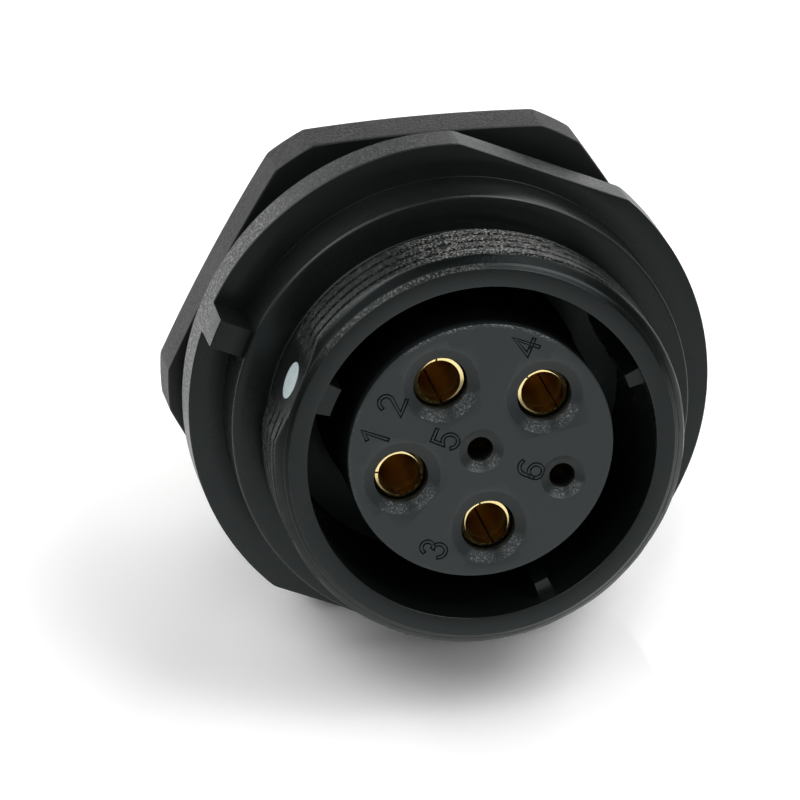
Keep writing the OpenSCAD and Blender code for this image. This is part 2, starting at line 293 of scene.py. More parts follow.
def turned_piece(name, outline, columns=96, centre=(0.0, 0.0), shaped=None):
    """Closed piece turned from an outline of (radius, height) that starts and ends on its axis.

    A given shape moves each point by its direction.
    """
    angles = np.linspace(0.0, 2 * math.pi, columns, endpoint=False)
    points, rings = [], []
    for radius, height in outline:
        if radius < 1e-6:
            rings.append([len(points)] * columns)
            points.append((centre[0], -height, centre[1]))
            continue
        rings.append(list(range(len(points), len(points) + columns)))
        for angle in angles:
            out, up = shaped(radius, height, angle) if shaped else (radius, height)
            points.append((centre[0] + out * math.cos(angle), -up, centre[1] + out * math.sin(angle)))
    faces = []
    for low, high in zip(rings, rings[1:]):
        for i in range(columns):
            j = (i + 1) % columns
            corners = (low[i], low[j], high[j], high[i])
            faces.append(tuple(dict.fromkeys(corners)))
    return closed_piece(name, points, faces)


def prism(name, outline, front, back):
    """Closed piece with the same outline of (x, z) points between two heights."""
    count = len(outline)
    points = [(x, -front, z) for x, z in outline] + [(x, -back, z) for x, z in outline]
    faces = [tuple(range(count)), tuple(range(2 * count - 1, count - 1, -1))]
    faces += [(i, (i + 1) % count, count + (i + 1) % count, count + i) for i in range(count)]
    return closed_piece(name, points, faces)


def ring_prism(name, outer, inner, front, back):
    """Closed ring between two outlines of (x, z) points, from one height to another."""
    count = len(outer)
    points = []
    for height in (front, back):
        points += [(x, -height, z) for x, z in outer] + [(x, -height, z) for x, z in inner]
    faces = []
    for i in range(count):
        j = (i + 1) % count
        for a, b, c, d in ((0, 0, 1, 1), (2, 2, 3, 3), (0, 0, 2, 2), (1, 1, 3, 3)):
            faces.append((a * count + i, b * count + j, c * count + j, d * count + i))
    return closed_piece(name, points, faces)


def cut_away(piece, cutters, sharp_angle, crossing=False):
    """Cuts closed pieces, which may cross each other, out of another and removes them."""
    group = bpy.data.collections.new(piece.name + "_cutters")
    for cutter in cutters:
        group.objects.link(cutter)
    modifier = piece.modifiers.new("cut", "BOOLEAN")
    modifier.operand_type = "COLLECTION"
    modifier.collection = group
    modifier.solver = "EXACT"
    modifier.use_self = crossing
    depsgraph = bpy.context.evaluated_depsgraph_get()
    made = bpy.data.meshes.new_from_object(piece.evaluated_get(depsgraph))
    piece.modifiers.clear()
    piece.data = made
    for cutter in cutters:
        bpy.data.objects.remove(cutter)
    bpy.data.collections.remove(group)
    clean_mesh(made, sharp_angle)


class Grid:
    """Rows of points round the axis from named runs of (radius, height), with the materials' marks."""

    def __init__(self, runs, columns):
        self.spans, points = {}, []
        for name, run in runs.items():
            self.spans[name] = slice(len(points), len(points) + len(run))
            points += [tuple(point) for point in run]
        outline = np.array(points, float)
        self.angle = np.repeat(columns[None, :], len(outline), 0)
        self.radius = np.repeat(outline[:, :1], len(columns), 1)
        self.height = np.repeat(outline[:, 1:], len(columns), 1)
        self.grain = np.zeros_like(self.radius)
        self.shade = np.zeros_like(self.radius)

    def rows(self, first, last=None):
        """Rows of one run, or from one run to the end of another."""
        return slice(self.spans[first].start, self.spans[last or first].stop)

    def piece(self, name):
        """Closed piece; rows and columns both close on themselves."""
        turn = np.radians(self.angle)
        sides = [self.radius * np.cos(turn), -self.height, self.radius * np.sin(turn)]
        place = np.stack(sides, -1) * MM
        index = np.arange(self.radius.size).reshape(self.radius.shape)
        beside = np.roll(index, -1, 1)
        faces = np.stack([index, beside, np.roll(beside, -1, 0), np.roll(index, -1, 0)], -1)
        mesh = bpy.data.meshes.new(name)
        mesh.from_pydata(place.reshape(-1, 3).tolist(), [], faces.reshape(-1, 4).tolist())
        mark(mesh, "grain", self.grain)
        mark(mesh, "shade", self.shade)
        clean_mesh(mesh, SHARP)
        return link(bpy.data.objects.new(name, mesh))


def column_angles(edges):
    """Angles of a grid's columns: even ones, with a close set of four at each edge."""
    offsets = (-3 * COLUMN_CLOSE, -COLUMN_CLOSE, COLUMN_CLOSE, 3 * COLUMN_CLOSE)
    close = sorted((edge + offset) % 360.0 for edge in edges for offset in offsets)
    even = [a for a in np.arange(0.0, 360.0, COLUMN_STEP)
            if min(abs(turned_from(a, c)) for c in close) > 0.3 * COLUMN_STEP]
    return np.array(sorted(close + even))


def raised(off, half, radius):
    """1 on a level-sided bar and 0 beside it, stepping between two close columns."""
    across = radius * np.sin(np.radians(off))
    step = radius * math.radians(2 * COLUMN_CLOSE)
    inside = smooth((half - np.abs(across)) / step + 0.5)
    return np.where(np.abs(off) < 90.0, inside, 0.0)


# Materials

PIT_SCALE = 6500.0
PIT_DEPTH = 0.06
CLOUD_SCALE = 420.0
FLECK_SCALE = 8500.0
SATIN_SPREAD = 0.16
SATIN_RELIEF = 0.03
GRAIN_RELIEF = 0.9
PLASTIC_IOR = 1.46
SPECULAR = 0.5
SPECULAR_LOSS = -0.3
# Colour the shade mark mixes in: painted shade on the shell and the insert, an even duller tone on the
# nut's sides
SHADE_BLACK = (0.004, 0.005, 0.005)
# Painted shade of the gaps: its black, and how far behind a height it starts and is full, in millimetres
GAP_PAINTED_BLACK = (0.003, 0.003, 0.003)
GAP_PAINTED_FALL = (0.1, 0.7)
COOL_BLUE = 1 / 8

# Pairs of colours that mix; the gold's painted shade lies between two falls along Y, in millimetres
GOLD = ((0.98, 0.78, 0.32), (1.0, 0.86, 0.46))
GOLD_PAINTED_SHADE = (0.68, 0.46, 0.12)
GOLD_LINES = (600.0, 14000.0, 600.0)
GOLD_MOUTH = (-9.4, -8.6)
GOLD_REAR = (0.0, 2.0)
STEEL = ((0.28, 0.28, 0.29), (0.42, 0.42, 0.43))
STEEL_LINES = (1500.0, 12000.0, 1500.0)
RUBBER = ((0.009, 0.009, 0.009), (0.016, 0.016, 0.016))
PAINT = ((0.38, 0.46, 0.47), (0.55, 0.65, 0.66))


def add(tree, kind, sockets=None, **settings):
    """Adds a shader node; a socket's value is a number, a colour or another node's output."""
    made = tree.nodes.new("ShaderNode" + kind)
    for key, value in settings.items():
        setattr(made, key, value)
    for key, value in (sockets or {}).items():
        if isinstance(value, bpy.types.NodeSocket):
            tree.links.new(value, made.inputs[key])
        else:
            made.inputs[key].default_value = value
    return made


def new_material(name):
    """Material with its tree, its shader and the place on the piece."""
    material = bpy.data.materials.new(name)
    material.use_nodes = True
    tree = material.node_tree
    shader = tree.nodes["Principled BSDF"]
    place = add(tree, "TexCoord").outputs["Object"]
    return material, tree, shader, place


def math_node(tree, operation, *values):
    return add(tree, "Math", dict(enumerate(values)), operation=operation).outputs[0]


def scaled(tree, value, factor, offset):
    """A value times a factor, plus an offset."""
    return math_node(tree, "MULTIPLY_ADD", value, factor, offset)


def noise(tree, place, scale, detail=2.0, roughness=0.5):
    """Noise between 0 and 1; the scale is in cells a metre."""
    sockets = {"Vector": place, "Scale": scale, "Detail": detail, "Roughness": roughness}
    return add(tree, "TexNoise", sockets).outputs["Fac"]


def fine_lines(tree, place, scale, detail):
    """Noise drawn out into lines by a scale for each axis."""
    stretch = add(tree, "Mapping", {"Vector": place, "Scale": scale}).outputs["Vector"]
    return noise(tree, stretch, 1.0, detail)


def mark_value(tree, name):
    return add(tree, "Attribute", attribute_name=name).outputs["Fac"]


def ramp(tree, value, low, high, **settings):
    """Share from 0 to 1 as a value goes from low to high."""
    sockets = {"Value": value, "From Min": low, "From Max": high}
    return add(tree, "MapRange", sockets, **settings).outputs["Result"]


def mix_colour(tree, share, first, second):
    """Mix of two colours; the first may be another node's output."""
    if isinstance(first, tuple):
        first = (*first, 1.0)
    sockets = {"Factor": share, 6: first, 7: (*second, 1.0)}
    return add(tree, "Mix", sockets, data_type="RGBA").outputs[2]


def set_relief(tree, shader, height, strength, depth):
    """Gives a shader a fine relief of a depth in millimetres."""
    sockets = {"Strength": strength, "Distance": depth * MM, "Height": height}
    bump = add(tree, "Bump", sockets)
    tree.links.new(bump.outputs["Normal"], shader.inputs["Normal"])


def set_look(tree, shader, colour, rough):
    """Gives a shader its colour and roughness."""
    tree.links.new(colour, shader.inputs["Base Color"])
    tree.links.new(rough, shader.inputs["Roughness"])


def plastic(name, colour, worn_and_glint, satin, grained, flecked=(0.4, 0.66), fine=FLECK_SCALE,
            painted_shade_behind=None, cool=0.0, shaded=True):
    """Moulded plastic, satin where the grain mark is 0 and grainy from erosion, with pale flecks,
    where it is 1; the flecks are partly painted glints.

    The shade mark darkens and dulls it, a painted shade on the shell and the insert. Behind
    a given height it falls off to black, another painted shade. A cool one mirrors a little
    less red and blue.
    """
    material, tree, shader, place = new_material(name)
    grain = mark_value(tree, "grain")
    cloud = noise(tree, place, CLOUD_SCALE, 3.0)
    spread = scaled(tree, cloud, SATIN_SPREAD, satin - SATIN_SPREAD / 2)
    rough = scaled(tree, grain, grained - satin, spread)
    flecks = ramp(tree, noise(tree, place, fine), *flecked)
    # Pale flecks where the grain is, partly painted glints
    tint = mix_colour(tree, math_node(tree, "MULTIPLY", grain, flecks), colour, worn_and_glint)
    # Painted shade: behind the given height the colour falls off to black
    if painted_shade_behind is not None:
        height = add(tree, "SeparateXYZ", {"Vector": place}).outputs["Y"]
        painted_deep_shade = ramp(tree, height, *((fall - painted_shade_behind) * MM for fall in GAP_PAINTED_FALL))
        tint = mix_colour(tree, painted_deep_shade, tint, GAP_PAINTED_BLACK)
    if shaded:
        # The shade mark gives a darker colour and weaker mirroring: painted shade on the shell and the
        # insert, an even duller finish on the nut's sides
        shade = mark_value(tree, "shade")
        tint = mix_colour(tree, shade, tint, SHADE_BLACK)
        dulled = scaled(tree, shade, SPECULAR_LOSS, SPECULAR)
        tree.links.new(dulled, shader.inputs["Specular IOR Level"])
    set_look(tree, shader, tint, rough)
    strength = scaled(tree, grain, GRAIN_RELIEF, SATIN_RELIEF)
    set_relief(tree, shader, noise(tree, place, PIT_SCALE, 3.0, 0.6), strength, PIT_DEPTH)
    shader.inputs["IOR"].default_value = PLASTIC_IOR
    shader.inputs["Specular Tint"].default_value = (1.0 - cool, 1.0, 1.0 - cool * COOL_BLUE, 1.0)
    return material


def gold_plate():
    """Bright gold over turned metal with faint tool marks, darker within the bore: painted shade."""
    material, tree, shader, place = new_material("gold_plate")
    cloud = noise(tree, place, 900.0)
    bright = mix_colour(tree, cloud, *GOLD)
    height = add(tree, "SeparateXYZ", {"Vector": place}).outputs["Y"]
    mouth = ramp(tree, height, *(level * MM for level in GOLD_MOUTH))
    rear = ramp(tree, height, *(level * MM for level in GOLD_REAR))
    # Painted shade: darker gold between the bore's mouth and the rear, rougher there too
    painted_deep_shade = math_node(tree, "SUBTRACT", mouth, rear)
    satin = scaled(tree, cloud, 0.12, 0.13)
    rough = scaled(tree, painted_deep_shade, 0.2, satin)
    set_look(tree, shader, mix_colour(tree, painted_deep_shade, bright, GOLD_PAINTED_SHADE), rough)
    set_relief(tree, shader, fine_lines(tree, place, GOLD_LINES, 2.0), 0.06, 0.02)
    shader.inputs["Metallic"].default_value = 1.0
    return material


def spring_steel():
    """Oiled spring steel with fine rolled lines."""
    material, tree, shader, place = new_material("oiled_steel")
    lines = fine_lines(tree, place, STEEL_LINES, 3.0)
    rough = scaled(tree, lines, 0.25, 0.22)
    set_look(tree, shader, mix_colour(tree, lines, *STEEL), rough)
    shader.inputs["Metallic"].default_value = 1.0
    return material


def rubber():
    """Dull black rubber with a soft bloom."""
    material, tree, shader, place = new_material("black_rubber")
    bloom = noise(tree, place, 600.0, 4.0)
    rough = scaled(tree, bloom, 0.2, 0.6)
    set_look(tree, shader, mix_colour(tree, bloom, *RUBBER), rough)
    set_relief(tree, shader, noise(tree, place, 9000.0), 0.25, 0.03)
    return material


def white_paint():
    """White marking paint with a slightly uneven face."""
    material, tree, shader, place = new_material("white_paint")
    uneven = noise(tree, place, 2500.0, 3.0)
    rough = scaled(tree, uneven, 0.2, 0.35)
    set_look(tree, shader, mix_colour(tree, uneven, *PAINT), rough)
    set_relief(tree, shader, uneven, 0.3, 0.03)
    return material


def dress(piece, material, body, slot, *nodes):
    """Gives a piece its material and body, and hides the CAD nodes it stands for; the slot is not used.
    """
    piece.data.materials.clear()
    piece.data.materials.append(material)
    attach(piece, body)
    if nodes:
        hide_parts(*nodes)


# Receptacle shell

# Crest of the coupling thread: radius at heights from the thread's start and from its end
CREST_START = ((0.0, ROOT_R), (0.12, ROOT_R + 0.1), (0.38, THREAD_R - 0.1), (0.55, THREAD_R))
CREST_END = ((-LEAD_LEN - 0.05, THREAD_R), (-LEAD_LEN + 0.05, THREAD_R - 0.03), (0.0, LEAD_R))

# Its rows across a groove, in half widths of the groove, and how many grooves have rows
GROOVE_ROWS = (-1.02, -0.98, -0.66, 0.0, 0.66, 0.98, 1.02, 1.9, 2.8, 3.7)
GROOVE_COUNT = 10
GROOVES_BEHIND = 3

# How its grooves begin, end and run out beside the strip, where the crest rises
GROOVE_BEGIN = 0.1
GROOVE_DEEPEN = 0.4
GROOVE_STOP = 0.3
GROOVE_FADE = 0.35
GROOVE_RUN_OUT = 0.7
BANK_HALF = STRIP_HALF + 0.9
BANK_EASE = 0.6
BANK_ABOVE = 0.05

# Rows of points on the hub's fillet and the bevel, and the foot of the bevel
FILLET_ROWS = 7
BEVEL_ROWS = 11
BEVEL_FOOT = 0.02
# The bevel's foot rows get less painted shade, a painted light line
BEVEL_FOOT_ROWS = 3
BEVEL_FOOT_SHADE = 0.3

# The grain's pale flecks are partly painted glints, and the shade patches are painted shade
# Finishes round the shell: strength, middle, reach to each side and fade, in degrees
PANEL_GRAIN = 0.5
RIM_GRAIN = 0.25
RIM_WEAR_AND_GLINTS = (0.75, 158.0, 34.0, 10.0)
THREAD_GRAIN = 0.08
THREAD_DULL = (0.1, 125.0, 60.0, 20.0)
THREAD_WEAR_AND_GLINTS = (0.85, 83.0, 31.0, 22.0)
LEAD_UNWORN = 0.75
LEAD_SHADE = 0.7
LEAD_PAINTED_SHADE = (0.6, 85.0, 60.0, 20.0)
BEVEL_LINES = (0.03, 70.0, 28.0, 10.0)
BEVEL_WEAR_AND_GLINTS = (0.4, 115.0, 32.0, 10.0)
BEVEL_CLEAR = (0.8, 120.0, 40.0, 12.0)
FILLET_PAINTED_SHADE = (0.9, 165.0, 60.0, 20.0)
GAP_SHADE = 0.55
GAP_PAINTED_SHADE = ((0.4, 205.0, 60.0, 20.0), (0.4, 40.0, 50.0, 20.0), (0.6, 150.0, 6.0, 2.0))
KEY_FRONT_REACH = 8.0


def shell_edges():
    """Directions of the edges that cross the shell's rings."""
    tab = half_angle(TAB_HALF, FLANGE_R)
    strip = math.degrees(math.acos(STRIP_FLAT / THREAD_R))
    edges = [KEY - tab, KEY + tab, KEY - strip, KEY + strip]
    for key in KEYS:
        side = half_angle(key["half"], BORE_R)
        edges += [key["turn"] - side, key["turn"] + side]
    corner = math.degrees(math.acos(FLAT_HALF / FLANGE_R))
    for turn in (FLAT_TURN, FLAT_TURN + 180.0):
        edges += [turn - corner, turn + corner]
    return edges


def rear_runs():
    """Runs of the shell from the rear end to the gasket's recess."""
    chamfer_r = PANEL_R - REAR_CHAMFER
    chamfer_z = REAR_Z + REAR_CHAMFER
    foot = (chamfer_r + 0.1, REAR_Z + 0.1)
    corners = [(REAR_BORE_R, REAR_Z + REAR_RUN), (REAR_BORE_R, REAR_Z), (chamfer_r, REAR_Z), foot]
    recess = [(PANEL_R, -0.2), (PANEL_R, RECESS_DEPTH), (RECESS_R, RECESS_DEPTH),
              (RECESS_R, 0.0), (FLANGE_R - CHAMFER, 0.0), (FLANGE_R, CHAMFER)]
    heights = np.arange(chamfer_z + 0.1, -0.3, PANEL_ROW)
    return {
        "rear_end": rounded(corners, EDGE) + between(foot, (PANEL_R, chamfer_z), 7),
        "panel_thread": [(PANEL_R, height) for height in heights],
        "recess": rounded(recess, EDGE),
    }


def flange_runs():
    """Runs of the flange and the hub."""
    front = [(FLANGE_R, FLANGE_T - 2 * FLANGE_EDGE), (FLANGE_R, FLANGE_T), (FLANGE_FACE_R, FLANGE_T)]
    fillet_r, fillet_z = HUB_R + HUB_FILLET, FLANGE_T + HUB_FILLET
    fillet = [(fillet_r - HUB_FILLET * math.sin(turn), fillet_z - HUB_FILLET * math.cos(turn))
              for turn in np.linspace(0.0, math.pi / 2, FILLET_ROWS)]
    edge_z = HUB_Z - HUB_EDGE
    side = [(HUB_R, height) for height in np.linspace(fillet_z, edge_z - 0.05, 8)[1:-1]]
    edge = [(HUB_R, edge_z - 0.1), (HUB_R, HUB_Z), (HUB_FACE_R, HUB_Z)]
    return {
        "rim": between((FLANGE_R, CHAMFER), (FLANGE_R, FLANGE_T - FLANGE_EDGE), 11),
        "flange_front": rounded(front, FLANGE_EDGE) + fillet,
        "hub_side": side + rounded(edge, HUB_EDGE, 5),
        "hub_face": between((HUB_FACE_R, HUB_Z), (ROOT_FACE_R, HUB_Z), 5),
    }


def barrel_runs():
    """Runs of the coupling barrel, from its relief to the edge of its bore."""
    first = COUPLING_PHASE - GROOVES_BEHIND * COUPLING_STEP
    heights = [first + k * COUPLING_STEP + share * GROOVE_HALF
               for k in range(GROOVE_COUNT) for share in GROOVE_ROWS]
    foot = (LEAD_R - RIM_STEP, COUPLING_END + BEVEL_FOOT)
    edge = (LEAD_R - RIM_DROP, RIM_Z)
    bevel = [foot] + between(foot, edge, BEVEL_ROWS)
    relief = [(ROOT_FACE_R, HUB_Z), (ROOT_R, HUB_Z), (ROOT_R, COUPLING_START)]
    return {
        "relief": rounded(relief, RELIEF_FILLET),
        "thread": [(0.0, height) for height in heights],
        "bevel": bevel,
        "rim_face": rounded([bevel[-1], edge, (BORE_R, RIM_Z), (BORE_R, RIM_Z - CHAMFER)], RIM_EDGE),
    }


def bore_runs():
    """Runs of the bore, with rows at the keys' fronts, and of the rear bore."""
    master, side = MASTER_KEY["front"], SIDE_KEY["front"]
    heights = [master - KEY_STEP, master - KEY_BEVEL]
    heights += list(np.linspace(master - 0.1, side + KEY_BEVEL, 4))
    heights += [side, side - KEY_STEP, side - KEY_BEVEL]
    heights += list(np.linspace(side - 0.3, FLOOR_Z + 0.1, 8))
    hole = INSERT_R + INSERT_FIT
    meeting = (REAR_BORE_R, PARTITION_Z - REAR_RUN)
    floor = [(BORE_R, FLOOR_Z + 0.1), (BORE_R, FLOOR_Z), (hole, FLOOR_Z), (hole, PARTITION_Z),
             (REAR_BORE_R, PARTITION_Z), meeting]
    front_z, back_z = RING_GROOVE_Z
    rear = [meeting, (REAR_BORE_R, front_z), (RING_GROOVE_R, front_z), (RING_GROOVE_R, back_z),
            (REAR_BORE_R, back_z), (REAR_BORE_R, REAR_Z + REAR_RUN)]
    return {
        "bore": [(BORE_R, height) for height in heights],
        "floor": rounded(floor, EDGE),
        "rear_bore": rounded(rear, EDGE),
    }


def panel_groove(height, angle):
    """Depth of the panel thread's groove at a height and direction."""
    phase = (height - PANEL_PITCH * angle / 360.0) / PANEL_PITCH
    return PANEL_DEPTH * smooth(0.5 + 0.8 * np.cos(2 * math.pi * phase))


def cut_panel_thread(grid):
    """Cuts the panel thread through the rear chamfer; it fades out under the flange."""
    rows = grid.rows("rear_end", "panel_thread")
    level = grid.height[rows]
    fade = smooth((PANEL_END - level) / PANEL_FADE)
    thread = PANEL_R - fade * panel_groove(level, grid.angle[rows])
    grid.radius[rows] = np.minimum(grid.radius[rows], thread)
    grid.grain[grid.rows("panel_thread")] = PANEL_GRAIN


def cut_flats(grid):
    """Cuts the two flats of the flange and marks its rim's grain, whose flecks are partly painted glints.
    """
    rows = grid.rows("recess", "flange_front")
    radius = grid.radius[rows]
    cosine = np.abs(np.cos(np.radians(grid.angle[rows] - FLAT_TURN)))
    inset = np.clip(FLANGE_R - radius, 0.0, CHAMFER)
    flat = (FLAT_HALF - inset) / np.maximum(cosine, 0.2)
    grid.radius[rows] = soft_min(radius, flat, FLAT_SOFTNESS)
    rim = grid.rows("rim")
    # Grain of the rim, stronger by the tab; its pale flecks are partly painted glints
    grid.grain[rim] = RIM_GRAIN + patch(grid.angle[rim], *RIM_WEAR_AND_GLINTS)


def raise_tab(grid):
    """Raises the tab on the flange; the columns beside it turn, so that its sides are level."""
    rows = slice(grid.spans["rim"].stop - 1, grid.spans["hub_side"].stop)
    radius, height = grid.radius[rows], grid.height[rows]
    off = turned_from(grid.angle[rows], KEY)
    across = FLANGE_R * np.sin(np.radians(off))
    near = np.where(np.abs(off) < 90.0, smooth((TAB_LEVEL - np.abs(across)) / TAB_EASE), 0.0)
    level_off = np.degrees(np.arcsin(np.clip(across / radius, -1.0, 1.0)))
    grid.angle[rows] = KEY + off + near * (level_off - off)
    top = TAB_Z - np.clip(radius - (FLANGE_R - CHAMFER), 0.0, CHAMFER)
    lifted = height + raised(off, TAB_HALF, FLANGE_R) * (top - height)
    grid.height[rows] = np.maximum(height, lifted)


def helix_level(nominal, angle):
    """Height of the thread's rows along the helix; the strip over the key takes up the turn."""
    off = turned_from(angle, KEY + 180.0)
    strip = half_angle(STRIP_HALF, STRIP_FLAT)
    free = 180.0 - strip
    back = np.sign(off) * free * (180.0 - np.abs(off)) / strip
    turn = np.where(np.abs(off) > free, back, off)
    top = turned_from(90.0, KEY + 180.0)
    level = nominal + COUPLING_LEAD * top / -360.0 + COUPLING_LEAD * turn / 360.0
    return np.clip(level, COUPLING_START, COUPLING_END)


def cut_coupling_thread(grid):
    """Shapes the coupling thread and its lead, marks their grain, whose flecks on top are partly painted
    glints, and paints shade on the lead.
    """
    rows = grid.rows("thread")
    angle, nominal = grid.angle[rows], grid.height[rows]
    level = helix_level(nominal, angle)
    start, end = level - COUPLING_START, level - COUPLING_END
    crest_points = [(COUPLING_START + up, radius) for up, radius in CREST_START]
    crest_points += [(COUPLING_END + up, radius) for up, radius in CREST_END]
    crest = np.interp(level, *zip(*crest_points))
    count = np.round((nominal - COUPLING_PHASE) / COUPLING_STEP)
    from_groove = np.abs(nominal - COUPLING_PHASE - count * COUPLING_STEP)
    groove = np.clip((1.0 - from_groove / GROOVE_HALF) / GROOVE_WALL, 0.0, 1.0)

    near_key = np.radians(np.minimum(np.abs(turned_from(angle, KEY)), 60.0))
    beside = STRIP_FLAT * np.tan(near_key)
    bank = smooth((BANK_HALF - beside) / BANK_EASE)
    crest += bank * np.clip(STRIP_FLAT + BANK_ABOVE - crest, 0.0, None)
    lasting = smooth((start - GROOVE_BEGIN) / GROOVE_DEEPEN)
    lasting *= smooth((-GROOVE_STOP - end) / GROOVE_FADE)
    run_out = smooth((beside - STRIP_HALF) / GROOVE_RUN_OUT)
    thread = crest - COUPLING_GROOVE * groove * lasting * run_out
    grid.radius[rows] = np.minimum(thread, STRIP_FLAT / np.cos(near_key))
    grid.height[rows] = level

    lead = smooth((end + LEAD_LEN + 0.05) / 0.15)
    # Grain, strongest on top, where its pale flecks are partly painted glints
    grain_and_glints = THREAD_GRAIN + patch(angle, *THREAD_DULL) + patch(angle, *THREAD_WEAR_AND_GLINTS)
    plain = smooth(start / 0.2) * smooth((beside - STRIP_HALF) / 1.2)
    grid.grain[rows] = grain_and_glints * plain * (1.0 - groove) * (1.0 - LEAD_UNWORN * lead)
    # Painted shade on the lead, most at the top
    grid.shade[rows] = lead * (LEAD_SHADE + patch(angle, *LEAD_PAINTED_SHADE))


def finish_bevel(grid):
    """Gives the front bevel fine lines at the upper right and a rubbed edge with painted glints at the
    upper left.
    """
    rows = grid.rows("bevel")
    angle = grid.angle[rows]
    ridge = np.arange(rows.stop - rows.start)[:, None] % 4 >= 2
    grid.radius[rows] -= patch(angle, *BEVEL_LINES) * ridge
    # Grain at the upper left; its pale flecks are partly painted glints
    grid.grain[rows] = patch(angle, *BEVEL_WEAR_AND_GLINTS)
    # Painted shade on the bevel, less at the upper left; its foot rows get less, a painted light line
    grid.shade[rows] = 1.0 - patch(angle, *BEVEL_CLEAR)
    grid.shade[rows.start:rows.start + BEVEL_FOOT_ROWS] = BEVEL_FOOT_SHADE


def raise_keys(grid):
    """Raises the keys in the bore, with a fine bevel at their fronts."""
    rows = slice(grid.spans["bore"].start, grid.spans["floor"].start + 1)
    height = grid.height[rows]
    for key in KEYS:
        off = turned_from(grid.angle[rows], key["turn"])
        inside = raised(off, key["half"], BORE_R) * (height < key["front"])
        behind = key["front"] - KEY_BEVEL + KEY_STEP - height
        bevel = np.clip(behind, -KEY_BEVEL, 0.0) * -0.5
        grid.radius[rows] -= inside * (key["height"] - bevel)


def paint_gap_shade(grid):
    """Paints shade on the hub's foot at the left and in the gap round the insert, but not on the keys'
    fronts.
    """
    fillet_end = grid.spans["flange_front"].stop
    fillet = slice(fillet_end - FILLET_ROWS, fillet_end)
    # Painted shade over the hub's fillet at the left, fading its highlight
    grid.shade[fillet] = patch(grid.angle[fillet], *FILLET_PAINTED_SHADE)
    gap = slice(grid.spans["bore"].start + 1, grid.spans["floor"].stop)
    # Painted shade in the gap round the insert
    grid.shade[gap] = GAP_SHADE + sum(patch(grid.angle[gap], *dark) for dark in GAP_PAINTED_SHADE)
    for key in KEYS:
        near = np.abs(turned_from(grid.angle, key["turn"])) < KEY_FRONT_REACH
        front = (grid.height > key["front"] - 0.01) & (grid.radius < BORE_R + 0.01)
        grid.shade[near & front] = 0.0


def receptacle_shell():
    """Black shell, shaped step by step."""
    runs = {**rear_runs(), **flange_runs(), **barrel_runs(), **bore_runs()}
    grid = Grid(runs, column_angles(shell_edges()))
    cut_panel_thread(grid)
    cut_flats(grid)
    raise_tab(grid)
    cut_coupling_thread(grid)
    finish_bevel(grid)
    raise_keys(grid)
    paint_gap_shade(grid)
    shell = grid.piece("receptacle_shell_skin")
    dress(shell, shell_black, "receptacle", "shell", "receptacle_shell")


# Panel nut

NUT_GRAIN_RISE = 0.3
NUT_SHADE = 0.35


def nut_runs(bore):
    """Outline of the nut as named runs of (radius, height)."""
    mouth = bore + NUT_CHAMFER
    corners = [(NUT_LAND, NUT_FRONT_Z), (NUT_HALF, NUT_FRONT_Z),
               (NUT_HALF, NUT_REAR_Z), (NUT_LAND, NUT_REAR_Z)]
    outer = rounded(corners, NUT_EDGE, 4)
    middle = between((NUT_HALF, NUT_FRONT_Z - NUT_EDGE), (NUT_HALF, NUT_REAR_Z + NUT_EDGE), 8)
    half = len(outer) // 2
    front, back = (mouth, NUT_FRONT_Z), (mouth, NUT_REAR_Z)
    heights = np.arange(NUT_REAR_Z + 0.02, NUT_FRONT_Z, PANEL_ROW)
    return {
        "front": [front] + between(front, (NUT_LAND, NUT_FRONT_Z), 4),
        "side": outer[:half] + middle + outer[half:],
        "back": between((NUT_LAND, NUT_REAR_Z), back, 4) + [back],
        "thread": [(bore, height) for height in heights],
    }


def shape_flats(grid, flat_end):
    """Gives the nut six bowed flats with round corners."""
    rows = grid.rows("side")
    radius = grid.radius[rows]
    from_flat = np.radians((grid.angle[rows] - NUT_FLAT + 30.0) % 60.0 - 30.0)
    bow_r = (NUT_CORNER_R ** 2 - flat_end ** 2 + NUT_BOW ** 2) / (2 * NUT_BOW)
    centre = bow_r - NUT_HALF
    bowed = np.sqrt(bow_r ** 2 - (centre * np.sin(from_flat)) ** 2) - centre * np.cos(from_flat)
    shape = soft_min(bowed, NUT_CORNER_R, NUT_SOFTNESS)
    at_edge = radius > (NUT_LAND + NUT_HALF) / 2
    grid.radius[rows] = np.where(at_edge, shape - (NUT_HALF - radius), radius)
    grid.grain[rows] = smooth((NUT_FRONT_Z - grid.height[rows]) / NUT_GRAIN_RISE)
    grid.shade[rows] = NUT_SHADE * grid.grain[rows]


def panel_nut():
    """Hexagonal nut with a thread between two chamfers."""
    bore = PANEL_R + PANEL_CLEARANCE
    flat_end = NUT_HALF - NUT_BOW
    corner = math.degrees(math.acos(flat_end / NUT_CORNER_R))
    edges = [NUT_FLAT + 60.0 * i + side * corner for i in range(6) for side in (-1, 1)]
    grid = Grid(nut_runs(bore), column_angles(edges))
    shape_flats(grid, flat_end)
    rows = grid.rows("thread")
    level = grid.height[rows]
    ends = np.minimum(NUT_FRONT_Z - level, level - NUT_REAR_Z)
    cone = bore + (NUT_CHAMFER - ends)
    thread = bore - panel_groove(level, grid.angle[rows])
    grid.radius[rows] = np.where(ends < NUT_CHAMFER, cone, thread)
    dress(grid.piece("panel_nut_skin"), nut_black, "nut", "nut", "panel_nut")


# Contact insert with its dishes, holes and engraved numbers

def arc_points(centre, radius, start, end, count=12):
    """Points on an arc or an ellipse; the radius is a number or a pair."""
    rx, ry = radius if isinstance(radius, tuple) else (radius, radius)
    angles = np.radians(np.linspace(start, end, count))
    return [(centre[0] + rx * math.cos(a), centre[1] + ry * math.sin(a)) for a in angles]


